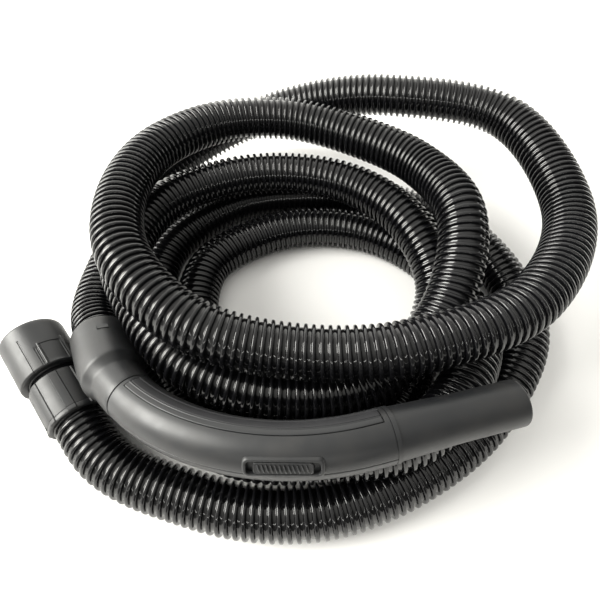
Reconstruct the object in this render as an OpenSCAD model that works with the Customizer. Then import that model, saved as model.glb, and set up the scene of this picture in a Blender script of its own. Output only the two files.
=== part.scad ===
// Suction hose of a vacuum cleaner, lying in a loose coil: a ribbed hose, a bent
// grip handle with an air-relief slide, and a swivel cup that fits the machine.
// Millimetres. The floor is z = 0, the origin is under the middle of the fittings.

/* [Hose] */
// outside diameter over the ribs
hose_od = 41; // [38:0.5:41]
// clear width of the bore
hose_bore = 30; // [26:0.5:31]
// depth of the valleys between the ribs
rib_depth = 3; // [1.5:0.5:3.5]
// ribs along the hose
rib_count = 180; // [120:10:180]

/* [Connector cup] */
// outside diameter of the cup
cup_od = 53; // [52:0.5:54]
// length of the cup
cup_len = 48; // [46:1:52]
// bore that takes the machine's spout
cup_bore = 46; // [44:0.5:47]
// length of the ring that keeps the neck in the cup
keeper_l = 8; // [6:0.5:10]
// thickness of the seal ring at the foot of the bore
seal_h = 2.4; // [1.5:0.1:2.4]
// inside diameter of the seal ring
seal_id = 37; // [34:0.5:40]
// width of the open groove between the cup and its sleeve
groove_w = 4.5; // [3:0.5:6]

/* [Connector sleeve] */
// wall of the sleeve round the hose
sleeve_wall = 2.15; // [1.8:0.05:2.4]
// length of the sleeve behind the groove
sleeve_len = 40.5; // [36:0.5:44]
// length of hose held in the sleeve
sleeve_grip = 20; // [14:1:22]
// outside diameter of the neck that the cup turns on
neck_od = 34.4; // [33:0.2:36]
// diameter of the neck's catch flange
catch_od = 40.8; // [39:0.2:40.8]
// airway through the neck
neck_bore = 29; // [26:0.5:30]
// finger bars round the sleeve
bar_count = 8; // [4:1:10]
// width of a finger bar
bar_w = 6.7; // [4:0.1:8]
// height of a finger bar
bar_h = 0.8; // [0.4:0.1:1.2]
// length of the ring at the sleeve's open end
end_ring_w = 5; // [3:0.5:7]

/* [Handle collar] */
// wall of the collar
collar_wall = 1.6; // [1.2:0.1:2]
// length of the collar
collar_len = 52; // [48:1:56]
// wall of the clip ring, which fills the collar's bore round the hose
clip_wall = 1.4; // [1:0.1:1.6]
// length of hose pushed into the collar
collar_grip = 18; // [14:1:18]
// outside diameter of the swivel's bearing neck
bearing_od = 32.4; // [31:0.1:33]
// length of the bearing neck
bearing_len = 14; // [10:1:15]
// thickness of the swivel's flange
flange_h = 3; // [2:0.2:3.4]
// airway through the swivel
swivel_bore = 26; // [22:0.5:26]
// width of a catch window, round the collar
window_w = 8.8; // [6:0.2:12]
// length of a catch window, along the collar
window_l = 5; // [4:0.2:6]

/* [Handle tube] */
// outside diameter of the band behind the collar
band_od = 44.4; // [42:0.2:46]
// length of the band
band_len = 9; // [6:1:12]
// outside diameter of the bare neck
neck_tube_od = 39; // [38:0.5:41]
// length of the bare neck
neck_tube_len = 21; // [16:1:26]
// outside diameter of the air duct inside the grip
duct_od = 33.6; // [33:0.2:34]
// bore of the air duct
duct_bore = 28; // [24:0.5:28.5]
// straight length ahead of the bend
lead = 27; // [27:0.5:30]
// radius of the bend
bend_r = 178; // [176:1:180]
// angle of the bend
bend_deg = 75; // [73:1:76]

/* [Grip] */
// outside diameter of the grip shells
grip_od = 36.8; // [36.4:0.2:37.2]
// straight length of grip behind the bend
grip_tail = 14; // [8:1:18]
// width of the ring that closes the grip
grip_ring_w = 3; // [2:0.5:5]
// height of the soft pad and the strip over the shell
strip_rise = 0.4; // [0.2:0.1:0.8]
// width of the soft pad, in degrees round the grip
pad_deg = 24; // [16:1:30]
// width of the strip beside it, in degrees round the grip
trim_deg = 16; // [10:1:20]

/* [Spigot] */
// outside diameter of the spigot that takes a wand or a nozzle
spigot_od = 32; // [31:0.1:32.4]
// length of the spigot's straight end
spigot_len = 45; // [35:1:50]
// length of the taper in front of it
taper_len = 46; // [36:1:50]
// diameter at the root of the taper
taper_od = 35.2; // [34:0.2:36]

/* [Air relief] */
// length of the bezel, along the grip
bezel_l = 51; // [49:1:54]
// width of the bezel, in degrees round the grip
bezel_deg = 43; // [40:1:46]
// height of the bezel over the shell
bezel_rise = 2; // [1.2:0.1:2.6]
// length of the opening
vent_l = 45; // [43:0.5:46]
// width of the opening, in degrees round the grip
vent_deg = 25; // [22:1:27]
// length of the slide
slide_l = 36.4; // [30:0.2:36.4]
// travel of the slide, each way
slide_travel = 4; // [2:0.5:4]
// thumb ridges on the slide
ridge_count = 10; // [5:1:11]

/* [Hidden] */
$fn = 64;

// clearances: turning fit, pieces of one body, and pieces that pass each other
turn_fit = 0.08;
seat_gap = 0.1;
pass_gap = 0.3;
free_gap = 0.4;

// one stretch starts inside the one before it, by a length or an angle; a straight
// stretch and a curved one differ by a small step, in millimetres and in degrees
lap = 1;
lap_deg = 0.5;
step_in = 0.05;
slice_in = 0.15;

// colours
hose_black = [0.05, 0.05, 0.055];
grey = [0.22, 0.225, 0.235];
dark_grey = [0.13, 0.13, 0.14];
rubber_black = [0.08, 0.08, 0.08];

// where the fittings lie: a point on the axis, then turn, rise and roll
cup_at = [-235.5, -96, 29.24];
cup_turn = -50.6;
cup_rise = -3.4;
rim_at = [-167, -103.5, 43];
handle_turn = -59;
handle_rise = 20;
handle_roll = -8;
// from the middle of the coil to the middle of the fittings
place = [51.2, 153.4, 0];

// the route's turn centres, one a turn, and its stations, twelve a turn, as
// radius and height; a station on the floor has the height lie
lie = hose_od * 0.4;
centres = [[10, 5], [-5, 0], [-20, -30], [20, -68], [20, -70], [10, -80]];
stations = [
    [196, 19], [196, 27], [186, 44], [176, 72], [184, 93], [240, 95],
    [236, 92], [204, 103], [163, 102], [141, 96], [144, 107], [144, 115],
    [142, 109], [147, 99], [148, 90], [142, 86], [137, 86], [147, 90],
    [152, 100], [152, 73], [144, 53], [132, 57], [127, 65], [122, 72],
    [136, 68], [138, 62], [127, 60], [122, 60], [122, 61], [121, 61],
    [124, 45], [113, 17], [124, lie], [117, lie], [108, lie], [103, lie],
    [115, lie], [125, lie], [116, lie], [114, lie], [119, lie], [129, lie],
    [144, 17], [136, 49], [137, 53.5], [131, 53], [142, 43], [146, 19],
    [156, lie], [174, lie], [172, lie], [165, lie], [178, lie], [196, lie],
    [197, lie], [168, lie], [153, lie], [156, lie], [170, lie]];
start_deg = 210;
step_deg = 30;
per_turn = 360 / step_deg;

// the hose leaves each fitting straight for one diameter
run_in = hose_od;
// pieces of curve between two stations
fine = 12;
sides = 8;

function unit(v) = v / norm(v);
function heading(turn, rise) =
    [cos(turn) * cos(rise), sin(turn) * cos(rise), sin(rise)];

// the route: turn centre, station point, and the points that the hose passes
function centre(k) =
    let (f = k / per_turn, i = min(floor(f), len(centres) - 2))
    centres[i] + (centres[i + 1] - centres[i]) * (f - i);
function station(k) =
    let (c = centre(k), r = stations[k - 1][0], a = start_deg - step_deg * k)
    [c[0] + r * cos(a), c[1] + r * sin(a), stations[k - 1][1]];

handle_dir = heading(handle_turn, handle_rise);
cuff_dir = heading(cup_turn, cup_rise);
cuff_len = cup_len + groove_w + sleeve_len;
hose_start = rim_at + handle_dir * collar_grip;
hose_end = cup_at + cuff_dir * (cuff_len - sleeve_grip);
knots = concat([hose_start - handle_dir * run_in],
               [for (k = [1 : len(stations)]) station(k)],
               [hose_end + cuff_dir * run_in]);
last = len(knots) - 1;

// direction at a knot, weighted by the lengths on both sides
function slope(i) =
    i == 0 ? -handle_dir :
    i == last ? -cuff_dir :
    (knots[i + 1] - knots[i - 1])
        / (norm(knots[i + 1] - knots[i]) + norm(knots[i] - knots[i - 1]));

// a point at the share t between knot i and the next
function between(i, t) =
    let (h = norm(knots[i + 1] - knots[i]), u = t * t * (3 - 2 * t))
    knots[i] * (1 - u) + knots[i + 1] * u
        + slope(i) * h * t * (1 - t) * (1 - t)
        - slope(i + 1) * h * t * t * (1 - t);

route = concat([hose_start],
               [for (i = [0 : last - 1], j = [0 : fine - 1]) between(i, j / fine)],
               [knots[last], hose_end]);
mileage = [for (i = 0, s = 0; i < len(route);
                s = s + (i < len(route) - 1 ? norm(route[i + 1] - route[i]) : 0),
                i = i + 1) s];
hose_len = mileage[len(route) - 1];
tables = [for (a = [0 : 2])
              [for (i = [0 : len(route) - 1]) [mileage[i], route[i][a]]]];
function along(s) = [for (a = [0 : 2]) lookup(s, tables[a])];

// rings of the ribbed tube: valley, crest, valley and so on
ring_count = 2 * rib_count + 1;
ring_step = hose_len / (ring_count - 1);
middles = [for (i = [0 : ring_count - 1]) along(i * ring_step)];
function forward(i) =
    i == 0 ? -handle_dir :
    i == ring_count - 1 ? -cuff_dir :
    unit(middles[i + 1] - middles[i - 1]);
function ring(i, r, floor_z) =
    let (t = forward(i), u = unit(cross([0, 0, 1], t)), v = cross(t, u))
    [for (j = [0 : sides - 1])
        let (a = (j + 0.5) * 360 / sides,
             p = middles[i] + (u * cos(a) + v * sin(a)) * r)
        [p[0], p[1], max(p[2], floor_z)]];

// the least gap of the hose to itself, past two diameters along it
skip = ceil(2 * hose_od / ring_step);
gaps = [for (i = [0 : ring_count - 1])
            min([for (j = [i + skip : ring_count - 1 + skip])
                     j < ring_count ? norm(middles[i] - middles[j]) : hose_len])];
echo(hose_length = hose_len, least_gap = min(gaps) - hose_od);

// section sizes that follow from the driving ones
crest_r = hose_od / 2;
valley_r = crest_r - rib_depth;
bore_r = hose_bore / 2 / cos(180 / sides);
hose_hold_r = crest_r + seat_gap;
bore_floor = 1;

// stations along the connector, from the mouth; the bore ends at the seal, which
// lies on the throat ring
throat_w = 2;
catch_w = 3.7;
keeper_x = cup_len - keeper_l;
catch_x = keeper_x - pass_gap - catch_w;
chamber_x = catch_x - throat_w;
throat_x = chamber_x - throat_w;
cup_depth = throat_x - seat_gap - seal_h;
chamber_r = catch_od / 2 + 0.5;
seal_seat_r = cup_bore / 2 + 0.8;
sleeve_x = cup_len + groove_w;
hold_x = cuff_len - sleeve_grip;
sleeve_r = hose_hold_r + sleeve_wall;
ring_seat_r = hose_hold_r + sleeve_wall * 0.6;

// marks on the cup: ribs and a slot along it, and a sunk panel; degrees from the top
mark_w = 0.9;
mark_deg = [6, 12];
slot_deg = -12;
panel_x = cup_len / 2;
panel_l = cup_len / 2 - 2;
panel_deg = [16, 46];
panel_depth = 0.4;

// diameters that follow from the hose in the collar
clip_id = hose_od + 2 * free_gap;
clip_r = clip_id / 2 + clip_wall;
collar_bore_r = clip_r + seat_gap;
collar_r = collar_bore_r + collar_wall;
flange_r = collar_bore_r - free_gap;

// stations along the handle, from the rim; angles are round the bend
flange_x = collar_grip + flange_h;
seal_x = flange_x + flange_h + pass_gap;
bearing_x = seal_x + 2;
clip_w = 8.7;
clip_x = flange_x - pass_gap - clip_w;
window_x = clip_x + 1.7;
window_at = [13, 193];
deg_per_mm = 180 / PI / bend_r;
collar_a = (collar_len - lead) * deg_per_mm;
band_a = collar_a + band_len * deg_per_mm;
neck_a = band_a + neck_tube_len * deg_per_mm;
strip_a = neck_a + 1.2;
shell_r = grip_od / 2;
shell_bore_r = duct_od / 2 + seat_gap;
strip_seat_r = shell_r - 0.8;
strip_mid = 8;
strip_tail = grip_tail - 4;
split_deg = 0.2;

// the air relief: its angle above the outer side, and its place round the bend
vent_tilt = 20;
vent_a = 58.3;
vent_r = bend_r + shell_r * cos(vent_tilt);
arc_deg = 180 / PI / vent_r;
hole_r = 3;
slide_top_r = shell_r + bezel_rise - 0.8;
foot_r = shell_bore_r + 0.05;
skirt_r = foot_r + 0.7;
skirt_w = 1;
skirt_deg = 1.5;
ridge_w = 1.4;
ridge_h = 0.8;
ridge_slant = 15;

module at_cuff() {
    translate(place + cup_at)
        rotate([0, 0, cup_turn])
            rotate([0, -cup_rise, 0])
                children();
}

module at_handle() {
    translate(place + rim_at)
        rotate([0, 0, handle_turn])
            rotate([0, -handle_rise, 0])
                rotate([handle_roll, 0, 0])
                    children();
}

// a solid of revolution about X from a profile of [x, radius] points
module turned(profile) {
    rotate([0, 90, 0])
        rotate_extrude()
            polygon([for (p = profile) [p[1], p[0]]]);
}

module pipe(x, length, outer_r, inner_r) {
    turned([[x, inner_r], [x, outer_r], [x + length, outer_r], [x + length, inner_r]]);
}

// a bar on a round body, at an angle from the top
module rib_bar(x, length, width, low_r, high_r, angle) {
    rotate([-angle, 0, 0])
        translate([x, -width / 2, low_r])
            cube([length, width, high_r - low_r]);
}

// sweeps a section, whose x points outwards, round part of the bend
module round_bend(from_a, to_a) {
    translate([lead, bend_r, 0])
        rotate([0, 0, from_a - 90])
            rotate_extrude(angle = to_a - from_a)
                translate([bend_r, 0])
                    children();
}

// the straight behind the bend: X runs on, Y points to the inner side
module after_bend() {
    translate([lead + bend_r * sin(bend_deg), bend_r * (1 - cos(bend_deg)), 0])
        rotate([0, 0, bend_deg])
            children();
}

// sweeps a section along the straight behind the bend
module along_tail(from_x, to_x) {
    after_bend()
        translate([from_x, 0, 0])
            rotate([90, 0, 90])
                linear_extrude(to_x - from_x)
                    mirror([1, 0])
                        children();
}

// a slice of a flat ring, swept from an angle of the bend to a length behind
// it; the straight stretch starts inside the curved one
module grip_slice(from_a, tail, inner_r, outer_r, low_deg, high_deg) {
    round_bend(from_a, bend_deg)
        ring_slice(inner_r, outer_r, low_deg, high_deg);
    along_tail(-lap, tail)
        ring_slice(inner_r + step_in, outer_r - step_in, low_deg + slice_in, high_deg - slice_in);
}

// a slice of a flat ring, between two angles from its x axis
module ring_slice(inner_r, outer_r, from_a, to_a) {
    reach = outer_r * 2;
    intersection() {
        difference() {
            circle(outer_r);
            circle(inner_r);
        }
        polygon([[0, 0],
                 for (i = [0 : 4])
                     let (a = from_a + (to_a - from_a) * i / 4)
                     [reach * cos(a), reach * sin(a)]]);
    }
}

// a curved block in the air relief, centred on it
module vent_block(length, width_deg, inner_r, outer_r) {
    half = length / 2 * arc_deg;
    round_bend(vent_a - half, vent_a + half)
        ring_slice(inner_r, outer_r, vent_tilt - width_deg / 2, vent_tilt + width_deg / 2);
}

module hose() {
    outer = [for (i = [0 : ring_count - 1]) each ring(i, i % 2 == 0 ? valley_r : crest_r, 0)];
    inner = [for (i = [0 : 2 : ring_count - 1]) each ring(i, bore_r, bore_floor)];
    base = len(outer);
    end_out = (ring_count - 1) * sides;
    end_in = base + rib_count * sides;
    skin = [for (i = [0 : ring_count - 2], j = [0 : sides - 1])
                let (a = i * sides + j, b = i * sides + (j + 1) % sides)
                each [[a, b, a + sides], [b, b + sides, a + sides]]];
    lining = [for (i = [0 : rib_count - 1], j = [0 : sides - 1])
                  let (a = base + i * sides + j, b = base + i * sides + (j + 1) % sides)
                  each [[a, a + sides, b], [b, a + sides, b + sides]]];
    ends = [for (j = [0 : sides - 1])
                let (n = (j + 1) % sides)
                each [[j, base + j, n], [n, base + j, base + n],
                      [end_out + j, end_out + n, end_in + j],
                      [end_out + n, end_in + n, end_in + j]]];
    color(hose_black)
        translate(place)
            polyhedron(concat(outer, inner), concat(skin, lining, ends));
}

module cuff_sleeve() {
    neck_r = neck_od / 2;
    bore = neck_bore / 2;
    color(grey)
        at_cuff() {
            turned([[catch_x, bore], [catch_x, catch_od / 2 - 1],
                    [catch_x + 1, catch_od / 2], [catch_x + catch_w, catch_od / 2],
                    [catch_x + catch_w, neck_r], [sleeve_x, neck_r],
                    [sleeve_x, sleeve_r - 1], [sleeve_x + 1, sleeve_r],
                    [cuff_len - end_ring_w, sleeve_r],
                    [cuff_len - end_ring_w, ring_seat_r], [cuff_len, ring_seat_r],
                    [cuff_len, hose_hold_r], [hold_x, hose_hold_r], [hold_x, bore]]);
            for (i = [0 : bar_count - 1])
                rib_bar(sleeve_x + 2, sleeve_len - end_ring_w - 4, bar_w,
                        sleeve_r - 1, sleeve_r + bar_h, 10.5 + i * 360 / bar_count);
        }
}

module cuff_end_ring() {
    outer_r = sleeve_r + 0.6;
    color(dark_grey)
        at_cuff()
            turned([[cuff_len - end_ring_w, ring_seat_r + seat_gap],
                    [cuff_len - end_ring_w, outer_r], [cuff_len - 1, outer_r],
                    [cuff_len, outer_r - 1], [cuff_len, ring_seat_r + seat_gap]]);
}

module connector_cup() {
    outer_r = cup_od / 2;
    bore = cup_bore / 2;
    color(grey)
        at_cuff() {
            difference() {
                turned([[0, bore], [0, outer_r - 1.2], [1.2, outer_r],
                        [cup_len - 1.2, outer_r], [cup_len, outer_r - 1.2],
                        [cup_len, chamber_r], [chamber_x, chamber_r],
                        [chamber_x, seal_seat_r], [cup_depth, seal_seat_r],
                        [cup_depth, bore]]);
                rib_bar(cup_len / 3, cup_len, mark_w, outer_r - 0.5, outer_r + 1, slot_deg);
                translate([panel_x, 0, 0])
                    rotate([90, 0, 90])
                        linear_extrude(panel_l)
                            ring_slice(outer_r - panel_depth, outer_r + 1,
                                       90 - panel_deg[1], 90 - panel_deg[0]);
            }
            for (angle = mark_deg)
                rib_bar(panel_x, panel_l, mark_w, outer_r - 1, outer_r + 0.5, angle);
        }
}

module connector_seal() {
    color(rubber_black)
        at_cuff()
            pipe(cup_depth + seat_gap / 2, seal_h, seal_seat_r - seat_gap, seal_id / 2);
}

// the ring that backs the seal, and closes the chamber round the neck's catch
module throat_ring() {
    color(dark_grey)
        at_cuff()
            pipe(throat_x, throat_w, seal_seat_r - seat_gap, neck_bore / 2 + 1);
}

module swivel_ring() {
    inner_r = neck_od / 2 + turn_fit;
    outer_r = chamber_r - seat_gap;
    color(dark_grey)
        at_cuff()
            turned([[keeper_x, inner_r], [keeper_x, outer_r],
                    [cup_len - 1, outer_r], [cup_len, outer_r - 1], [cup_len, inner_r]]);
}

module handle_swivel() {
    bore = swivel_bore / 2;
    core_r = hose_bore / 2 - 0.2;
    color(dark_grey)
        at_handle()
            turned([[3, bore], [3, core_r - 0.8], [4, core_r], [collar_grip, core_r],
                    [collar_grip, crest_r - 0.2], [flange_x, crest_r - 0.2],
                    [flange_x, flange_r], [flange_x + flange_h, flange_r],
                    [flange_x + flange_h, bearing_od / 2],
                    [bearing_x + bearing_len, bearing_od / 2],
                    [bearing_x + bearing_len, bore]]);
}

// the ring that holds the swivel in the collar, with a catch in each window
module clip_ring() {
    catch_r = collar_r + 0.4;
    color(dark_grey)
        at_handle() {
            pipe(clip_x, clip_w, clip_r, clip_id / 2);
            for (angle = window_at)
                rib_bar(window_x + seat_gap, window_l - 2 * seat_gap, window_w - 2 * seat_gap,
                        clip_r - 1, catch_r, angle);
        }
}

module handle_seal() {
    color(rubber_black)
        at_handle()
            pipe(seal_x, bearing_x - seal_x, clip_r, bearing_od / 2 + pass_gap);
}

module handle_tube() {
    duct_r = duct_od / 2;
    airway_r = duct_bore / 2;
    taper_x = grip_tail + grip_ring_w;
    tip_x = taper_x + taper_len + spigot_len;
    color(grey)
        at_handle()
            difference() {
                union() {
                    turned([[0, 0], [0, collar_r - 0.8], [0.8, collar_r], [lead, collar_r], [lead, 0]]);
                    round_bend(-lap_deg, collar_a)
                        circle(collar_r - step_in);
                    round_bend(collar_a - lap_deg, band_a)
                        circle(band_od / 2);
                    round_bend(band_a - lap_deg, neck_a)
                        circle(neck_tube_od / 2);
                    round_bend(neck_a - lap_deg, bend_deg)
                        circle(duct_r);
                    after_bend()
                        turned([[-lap, 0], [-lap, duct_r - step_in], [taper_x, duct_r - step_in],
                                [taper_x, taper_od / 2], [taper_x + taper_len, spigot_od / 2],
                                [tip_x - 1, spigot_od / 2], [tip_x, spigot_od / 2 - 1], [tip_x, 0]]);
                }
                pipe(-1, bearing_x + 1, collar_bore_r, 0);
                pipe(bearing_x - 1, bearing_len + 2, bearing_od / 2 + turn_fit, 0);
                round_bend(lap_deg, bend_deg)
                    circle(airway_r);
                after_bend()
                    pipe(-lap, lap + tip_x + 1, airway_r + step_in, 0);
                for (angle = window_at)
                    rib_bar(window_x, window_l, window_w, collar_bore_r - 2, collar_r + 2, angle);
                for (i = [-2 : 2])
                    translate([lead, bend_r, 0])
                        rotate([0, 0, vent_a - 90 + i * 8 * arc_deg])
                            translate([bend_r, 0, 0])
                                rotate([0, 90 - vent_tilt, 0])
                                    cylinder(h = duct_r + 2, r = hole_r);
            }
}

// the upper shell's section, one or two steps in, with the pad's seat open or filled
module upper_section(steps, seated) {
    inset = steps * step_in;
    turn_in = steps * slice_in;
    split = split_deg + turn_in;
    difference() {
        ring_slice(shell_bore_r + inset, shell_r - inset, split, 180 - split);
        if (seated)
            ring_slice(strip_seat_r + inset, shell_r + 1, 90 + strip_mid - trim_deg - 0.5 + turn_in,
                       90 + strip_mid + pad_deg + 0.5 - turn_in);
    }
}

module grip_shell_upper() {
    color(dark_grey)
        at_handle()
            difference() {
                union() {
                    round_bend(neck_a, strip_a)
                        upper_section(1, false);
                    round_bend(strip_a - lap_deg, bend_deg)
                        upper_section(0, true);
                    along_tail(-lap, strip_tail + lap)
                        upper_section(1, true);
                    along_tail(strip_tail, grip_tail)
                        upper_section(2, false);
                }
                vent_block(vent_l + 2 * skirt_w + 2 * seat_gap, vent_deg + 2 * skirt_deg + 0.6,
                           shell_bore_r - 1, shell_r + 1);
            }
}

module grip_shell_lower() {
    color(dark_grey)
        at_handle()
            grip_slice(neck_a, grip_tail, shell_bore_r, shell_r, 180 + split_deg, 360 - split_deg);
}

module grip_pad() {
    low = 90 + strip_mid + 0.3;
    color(rubber_black)
        at_handle()
            grip_slice(strip_a + 0.1, strip_tail - 0.3, strip_seat_r + seat_gap,
                       shell_r + strip_rise, low, low + pad_deg - 0.3);
}

module grip_strip() {
    high = 90 + strip_mid - 0.3;
    color(grey)
        at_handle()
            grip_slice(strip_a + 0.1, strip_tail - 0.3, strip_seat_r + seat_gap,
                       shell_r + strip_rise, high - trim_deg + 0.3, high);
}

module grip_end_ring() {
    color(grey)
        at_handle()
            after_bend()
                pipe(grip_tail, grip_ring_w, shell_r, shell_bore_r);
}

module vent_bezel() {
    top_r = shell_r + bezel_rise;
    color(grey)
        at_handle()
            difference() {
                union() {
                    vent_block(bezel_l, bezel_deg, shell_r + seat_gap / 2, top_r);
                    vent_block(vent_l + 2 * skirt_w, vent_deg + 2 * skirt_deg, skirt_r, top_r);
                }
                vent_block(vent_l, vent_deg, skirt_r - 1, top_r + 1);
            }
}

module air_slide() {
    step = slide_l / ridge_count;
    color(dark_grey)
        at_handle() {
            vent_block(slide_l, vent_deg - 1.8, foot_r, slide_top_r);
            vent_block(slide_l + 0.6, vent_deg + 1.2, foot_r, skirt_r - pass_gap);
            for (i = [0 : ridge_count - 1])
                translate([lead, bend_r, 0])
                    rotate([0, 0, vent_a - 90 + (i + 0.5 - ridge_count / 2) * step * 0.86 * arc_deg])
                        translate([bend_r, 0, 0])
                            rotate([0, -vent_tilt, 0])
                                translate([slide_top_r - 0.3, 0, 0])
                                    rotate([ridge_slant, 0, 0])
                                        translate([0, -ridge_w / 2, -3])
                                            cube([ridge_h + 0.3, ridge_w, 6]);
        }
}

hose();
cuff_sleeve();
cuff_end_ring();
connector_cup();
connector_seal();
throat_ring();
swivel_ring();
handle_swivel();
clip_ring();
handle_seal();
handle_tube();
grip_shell_upper();
grip_shell_lower();
grip_pad();
grip_strip();
grip_end_ring();
vent_bezel();
air_slide();
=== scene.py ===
"""A vacuum cleaner's suction hose, dressed for rendering.

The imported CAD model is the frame: it gives every fitting its place and size. The
ribbed hose is built again here, along the same route, with every one of its ribs.
Lengths are in millimetres until a mesh is made, and in metres from then on.
"""

import logging
import math
from dataclasses import dataclass
from enum import Enum

import bmesh
import bpy
import numpy as np
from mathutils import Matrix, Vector


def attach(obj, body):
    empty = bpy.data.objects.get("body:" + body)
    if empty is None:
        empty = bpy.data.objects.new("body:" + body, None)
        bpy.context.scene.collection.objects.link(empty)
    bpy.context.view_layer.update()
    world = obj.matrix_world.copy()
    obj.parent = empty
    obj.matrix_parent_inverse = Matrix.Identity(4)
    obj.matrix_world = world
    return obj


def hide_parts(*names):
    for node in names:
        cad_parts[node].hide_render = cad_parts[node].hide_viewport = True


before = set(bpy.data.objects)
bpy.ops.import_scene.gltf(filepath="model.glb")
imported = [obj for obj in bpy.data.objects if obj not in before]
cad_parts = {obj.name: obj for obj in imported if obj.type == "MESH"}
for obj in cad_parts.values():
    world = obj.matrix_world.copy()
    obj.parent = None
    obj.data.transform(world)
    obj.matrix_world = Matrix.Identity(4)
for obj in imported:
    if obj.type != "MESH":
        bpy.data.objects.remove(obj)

MM = 0.001
# Angle between two faces above which their edge stays sharp, in degrees.
CREASE = 40.0
# Points in a loop round a fitting, before those that its marks add.
ROUND = 96

log = logging.getLogger("vacuum_hose")


class Body(Enum):
    """The bodies of the CAD model that pieces ride on."""

    HOSE = "hose_group"
    CONNECTOR = "connector"
    HANDLE = "handle"
    RELIEF = "relief"


class Slot(Enum):
    """The record's material slots."""

    HOSE = "hose_eva"
    SHELL = "grey_shell"
    DARK = "dark_plastic"
    RUBBER = "soft_rubber"


# --------------------------------------------------------------------------
# Materials
# --------------------------------------------------------------------------


def linear(code: str) -> tuple[float, float, float, float]:
    """Turns an sRGB hex value into a linear colour.

    Args:
        code: Six hex digits, such as "1a1b1d".

    Returns:
        Red, green, blue and alpha.
    """
    parts = [int(code[i : i + 2], 16) / 255 for i in (0, 2, 4)]
    return (
        *[p / 12.92 if p <= 0.04045 else ((p + 0.055) / 1.055) ** 2.4 for p in parts],
        1.0,
    )


def add_node(
    tree: bpy.types.NodeTree, kind: str, inputs: dict | None = None, **settings: object
) -> bpy.types.Node:
    """Adds a node with its settings and links.

    Args:
        tree: The node tree of a material or a world.
        kind: Blender's name of the node's type.
        inputs: What goes into each input, by its name or number: a value or a
            socket of another node.
        **settings: The node's own settings.

    Returns:
        The new node.
    """
    node = tree.nodes.new(kind)
    for name, value in settings.items():
        setattr(node, name, value)
    for name, value in (inputs or {}).items():
        if isinstance(value, bpy.types.NodeSocket):
            tree.links.new(value, node.inputs[name])
        else:
            node.inputs[name].default_value = value
    return node


@dataclass(frozen=True)
class Moulded:
    """A moulded finish: a polymer, its colour, and the skin that the tool leaves.

    Attributes:
        name: The material's name, from what it is and how it was made.
        colour: The polymer's colour, sRGB hex.
        worn: Colour where handling has rubbed or dusted it, sRGB hex.
        ior: Index of refraction of the polymer.
        gloss: Roughness of the smoothest patches.
        matt: Roughness of the mattest patches.
        grain: Width of a grain of the tool's texture, in millimetres.
        relief: Height of that grain, in millimetres.
        patch: Width of a patch of uneven gloss, in millimetres.
    """

    name: str
    colour: str
    worn: str
    ior: float
    gloss: float
    matt: float
    grain: float
    relief: float
    patch: float

    def make(self) -> bpy.types.Material:
        """Builds the material.

        Returns:
            The material, or the one that was made before.
        """
        found = bpy.data.materials.get(self.name)
        if found:
            return found
        material = bpy.data.materials.new(self.name)
        material.use_nodes = True
        tree = material.node_tree
        shader = tree.nodes["Principled BSDF"]
        noise, remap = "ShaderNodeTexNoise", "ShaderNodeMapRange"
        place = add_node(tree, "ShaderNodeTexCoord").outputs["Object"]
        uneven = {"Scale": 1 / (self.patch * MM), "Detail": 4.0, "Roughness": 0.6}
        patches = add_node(tree, noise, {"Vector": place, **uneven}).outputs["Fac"]
        grainy = {"Scale": 1 / (self.grain * MM), "Detail": 2.0}
        grains = add_node(tree, noise, {"Vector": place, **grainy}).outputs["Fac"]
        gloss = {"From Min": 0.3, "From Max": 0.7, "To Min": self.gloss, "To Max": self.matt}
        rough = add_node(tree, remap, {"Value": patches, **gloss}).outputs["Result"]
        wear = {"From Min": 0.45, "From Max": 0.85, "To Min": 0.0, "To Max": 0.6}
        rubbed = add_node(tree, remap, {"Value": patches, **wear}).outputs["Result"]
        colour = add_node(
            tree,
            "ShaderNodeMix",
            {"Factor": rubbed, 6: linear(self.colour), 7: linear(self.worn)},
            data_type="RGBA",
        ).outputs[2]
        raised = {"Height": grains, "Distance": self.relief * MM, "Strength": 1.0}
        bump = add_node(tree, "ShaderNodeBump", raised).outputs["Normal"]
        shader.inputs["IOR"].default_value = self.ior
        tree.links.new(colour, shader.inputs["Base Color"])
        tree.links.new(rough, shader.inputs["Roughness"])
        tree.links.new(bump, shader.inputs["Normal"])
        return material


# Ethylene-vinyl acetate, blown against a polished corrugator: black, with a
# wet-looking skin that draws each highlight to a thin bright line.
BLOWN_EVA = Moulded("blown_eva", "0e0e10", "151516", 1.5, 0.08, 0.15, 1.6, 0.003, 14.0)
# ABS from a fine spark-eroded tool: an even satin grey with a faint grain.
ERODED_ABS = Moulded("spark_eroded_abs", "18191b", "262422", 1.53, 0.37, 0.5, 0.5, 0.012, 22.0)
# The same ABS in a darker shade, for rings and the swivel's parts.
DARK_ABS = Moulded("dark_moulded_abs", "17181a", "1f2022", 1.53, 0.32, 0.44, 0.5, 0.01, 20.0)
# Thermoplastic elastomer, moulded over the grip: matt, it swallows highlights.
SOFT_TPE = Moulded("moulded_tpe", "17171a", "242427", 1.5, 0.55, 0.7, 0.35, 0.02, 18.0)
# Nitrile rubber, pressed into rings: black and almost matt.
PRESSED_NBR = Moulded("pressed_nitrile", "101011", "1a1a1b", 1.52, 0.5, 0.62, 0.4, 0.01, 10.0)


def dress(node: str, finish: Moulded) -> None:
    """Gives a CAD node's object a finish in place of its plain material.

    Args:
        node: The CAD node's name.
        finish: The finish.
    """
    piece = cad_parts[node]
    if not piece.material_slots:
        piece.data.materials.append(None)
    for slot in piece.material_slots:
        slot.material = finish.make()
    log.info("%s dressed with %s", node, finish.name)


# --------------------------------------------------------------------------
# The route of the hose
# --------------------------------------------------------------------------


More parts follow.
